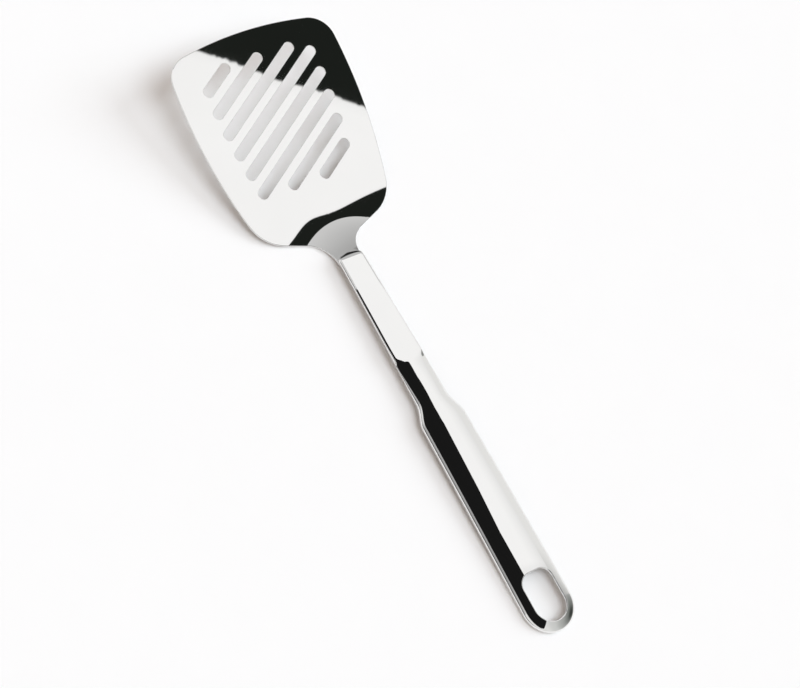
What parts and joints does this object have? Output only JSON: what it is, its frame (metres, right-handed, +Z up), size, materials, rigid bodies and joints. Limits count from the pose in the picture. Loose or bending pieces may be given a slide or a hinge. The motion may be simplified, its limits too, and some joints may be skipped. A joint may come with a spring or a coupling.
{
  "type": "slotted turner",
  "caption": "Polished steel kitchen turner: slotted blade with a raised heel, lapped under a pressed handle with a flat shank, crowned open-backed grip and hanging eye.",
  "frame": {"origin": "on the table plane, under the middle of the turner's bounding box as it lies", "axes": "+X forward along the turner to the blade's front edge, +Y to the blade's left, +Z up from the table"},
  "size_m": [0.3292, 0.0934, 0.0236],
  "materials": {
    "blade_steel": "mirror polished stainless steel sheet",
    "handle_steel": "mirror polished stainless steel pressing",
    "weld_metal": "dull fused steel"
  },
  "bodies": {
    "root": {"blade": "blade_steel", "handle": "handle_steel", "spot_weld_front": "weld_metal", "spot_weld_middle": "weld_metal", "spot_weld_rear": "weld_metal"}
  },
  "joints": []
}
